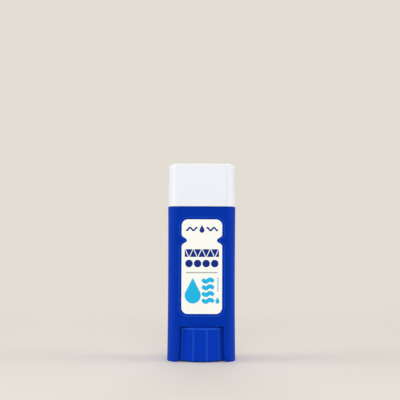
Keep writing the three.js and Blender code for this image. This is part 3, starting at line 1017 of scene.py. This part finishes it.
def build_glue(material):
    """Bar of glue: narrow in its cup, crowned and soft-edged at the top, bored for the spindle."""
    bm = bmesh.new()
    top, low = glue_high.z, glue_low.z
    flat = top - GLUE_CROWN
    profile = [(GLUE_FOOT_INSET, low), (GLUE_FOOT_INSET, GLUE_FOOT_TOP), (GLUE_INSET, GLUE_FOOT_TOP)]
    row_height = (flat - GLUE_EDGE - GLUE_FOOT_TOP) / GLUE_ROWS
    profile += [(GLUE_INSET, GLUE_FOOT_TOP + row_height * i) for i in range(1, GLUE_ROWS)]
    profile += [(GLUE_INSET + inward, flat - GLUE_EDGE + rise) for inward, rise in quarter_round(GLUE_EDGE)]
    crown = []
    for i in range(GLUE_ROWS):
        share = (i + 1) / GLUE_ROWS
        crown.append((share, flat + GLUE_CROWN * (1 - (1 - share) ** 2)))

    def glue_point(column, row):
        if row < len(profile):
            inset, z = profile[row]
            return plan_point(column, z, inset)
        share, z = crown[row - len(profile)]
        rim = plan_point(column, z, profile[-1][0])
        left = 1 - share * GLUE_TOP_CLOSING
        return Vector((rim.x * left, rim.y * left, z))

    skin(bm, RING, len(profile) + len(crown) - 1, glue_point)
    weld(bm)
    bmesh.ops.contextual_create(bm, geom=open_edges(bm, lambda p: p.z > top - MICRO))
    border = open_edges(bm, lambda p: p.z < low + MICRO)
    turns = [math.tau * i / HOLE_POINTS for i in range(HOLE_POINTS)]
    circle = [Vector((GLUE_BORE * math.sin(t), GLUE_BORE * math.cos(t), low)) for t in turns]
    mouth = outline_ring(bm, circle)
    fill_round(bm, border, mouth)
    grown = bmesh.ops.extrude_edge_only(bm, edges=mouth)["geom"]
    end = {part for part in grown if isinstance(part, bmesh.types.BMVert)}
    bmesh.ops.translate(bm, verts=list(end), vec=(0, 0, GLUE_BORE_TOP - low))
    bmesh.ops.contextual_create(bm, geom=[e for e in bm.edges if set(e.verts) <= end])
    weld(bm)
    glue = piece(bm, "glue_wax", "carrier", "glue", material, "glue_bar")
    slot = bmesh.new()
    height = GLUE_SLOT_HEIGHT + GLUE_SLOT_OVERRUN
    place = Matrix.Translation((0, 0, low + height / 2 - GLUE_SLOT_OVERRUN))
    place @= Matrix.Diagonal((GLUE_SLOT_LENGTH, GLUE_SLOT_WIDTH, height, 1))
    bmesh.ops.create_cube(slot, size=1, matrix=place)
    join_solid(glue, slot, "DIFFERENCE")
    return glue


def build_sticker(name, front, slot, node, material):
    """Bottle-shaped film sticker in its recess, on the front (-1) or the back (1)."""
    bm = bmesh.new()
    seat = front * (HALF_DEPTH - RECESS_DEPTH + STICKER_LIFT)
    face = -sticker_low.y * front
    rim = outline_ring(bm, bottle_outline(seat))
    bmesh.ops.contextual_create(bm, geom=rim)
    grown = bmesh.ops.extrude_face_region(bm, geom=bm.faces[:])["geom"]
    lifted = [part for part in grown if isinstance(part, bmesh.types.BMVert)]
    bmesh.ops.translate(bm, verts=lifted, vec=(0, face - seat, 0))
    weld(bm)
    soften(bm, STICKER_EDGE, steps=2)
    return piece(bm, name, "barrel", slot, material, node)


# Studio

def softbox(name, place, width, height, power):
    """A soft lamp that faces the stick."""
    light = bpy.data.lights.new(name, "AREA")
    light.shape = "RECTANGLE"
    light.size = width
    light.size_y = height
    light.energy = power
    lamp = bpy.data.objects.new(name, light)
    bpy.context.scene.collection.objects.link(lamp)
    lamp.location = place
    lamp.rotation_euler = (Vector(LAMP_TARGET) - Vector(place)).to_track_quat("-Z", "Y").to_euler()


def build_studio():
    """Pale floor that fades into a pale surround, soft lamps and the camera."""
    scene = bpy.context.scene
    scene.view_settings.view_transform = "Standard"

    bm = bmesh.new()
    bmesh.ops.create_circle(bm, cap_ends=True, segments=FLOOR_SIDES, radius=FLOOR_RADIUS)
    mesh = bpy.data.meshes.new("floor")
    bm.to_mesh(mesh)
    bm.free()
    floor = bpy.data.objects.new("floor", mesh)
    scene.collection.objects.link(floor)

    sheet = Finish("pale floor", **{"Base Color": FLOOR + (1,), "Roughness": 0.9, "Specular IOR Level": 0.1})
    x, y, _ = sheet.split(sheet.place())
    share = (((x * x + y * y).root() - FLOOR_FADE_START) / (FLOOR_RADIUS - FLOOR_FADE_START)).held()
    sheet.shade(Alpha=1 - share * share * (3 - share * 2))
    mesh.materials.append(sheet.material)

    world = bpy.data.worlds.new("studio")
    scene.world = world
    world.use_nodes = True
    world.node_tree.nodes.remove(world.node_tree.nodes["Background"])
    sheet = Sheet(world.node_tree)
    seen, mirrored, through = [sheet.add("ShaderNodeLightPath", output=f"Is {ray} Ray") for ray in SHOWN_TO]
    surround = sheet.add("ShaderNodeBackground", values={"Color": STUDIO + (1,), "Strength": 1})
    fill = sheet.add("ShaderNodeBackground", values={"Color": FILL + (1,), "Strength": FILL_STRENGTH})
    shown = seen.most(mirrored).most(through)
    mix = sheet.add("ShaderNodeMixShader", values={0: shown, 1: fill, 2: surround})
    sheet.feed(sheet.tree.nodes["World Output"], {"Surface": mix})

    for name, place, width, height, power in LAMPS:
        softbox(name, place, width, height, power)

    lens = bpy.data.cameras.new("camera")
    lens.sensor_width = CAMERA_SENSOR
    lens.lens = CAMERA_LENS
    lens.clip_start = CAMERA_CLIP_START
    camera = bpy.data.objects.new("camera", lens)
    scene.collection.objects.link(camera)
    turn = CAMERA_AZIMUTH
    camera.location = (CAMERA_DISTANCE * math.sin(turn), -CAMERA_DISTANCE * math.cos(turn), CAMERA_HEIGHT)
    aim = Euler((math.pi / 2 + CAMERA_TILT, 0, turn + CAMERA_ASIDE)).to_matrix()
    camera.rotation_euler = (aim @ Matrix.Rotation(CAMERA_ROLL, 3, "Z")).to_euler()
    scene.camera = camera


# Studio floor, and the surround's fill, which lights the stick while cameras and mirrors see STUDIO
FLOOR_RADIUS = 0.55
FLOOR_FADE_START = 0.09
FLOOR_SIDES = 96
FILL = (0.97, 0.98, 1)
FILL_STRENGTH = 0.35
SHOWN_TO = ("Camera", "Glossy", "Transmission")

# Soft lamps: name, place, width and height in metres, and power in watts
LAMP_TARGET = (0, 0, 0.05)
LAMPS = (
    ("front", (0, -0.8, 0.3), 0.5, 0.3, 3.0),
    ("left side", (-0.8, -0.1, 0.3), 0.5, 0.5, 2.65),
    ("right side", (0.8, -0.1, 0.3), 0.5, 0.5, 2.05),
    ("overhead", (0, -0.16, 0.85), 0.3, 0.3, 0.8),
    ("back", (0, 0.75, 0.4), 0.5, 0.5, 1.8),
)

# Camera, level with the middle of the stick and tilted up as the photograph's framing needs
CAMERA_DISTANCE = 0.4605
CAMERA_HEIGHT = 0.058
CAMERA_AZIMUTH = math.radians(-0.956)
CAMERA_TILT = math.radians(2.445)
CAMERA_ASIDE = math.radians(0.106)
CAMERA_ROLL = math.radians(0.231)
CAMERA_LENS = 84.5
CAMERA_SENSOR = 36
CAMERA_CLIP_START = 0.01

build_studio()
blue = moulded_blue("royal blue plastic", BLUE)
knob_blue = moulded_blue("royal blue knob plastic", KNOB_BLUE)
build_barrel(blue)
build_cap(moulded_white("white cap plastic", CAP_WHITE, 0.12))
build_knob(knob_blue)
build_glue(waxy_glue("waxy glue", GLUE))
front_film = front_print("printed film", PAPER, NAVY, CYAN, GREY)
build_sticker("front_sticker", -1, "label_front", "label_front", front_film)
back_film = back_print("printed back film", PAPER, CYAN, GREY)
build_sticker("back_sticker", 1, "label_back", "label_back", back_film)

plain_white = moulded_white("plain white plastic", PLAIN_WHITE, 0.05)
for node in ("spindle", "carrier"):
    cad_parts[node].data.materials.clear()
    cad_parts[node].data.materials.append(plain_white)
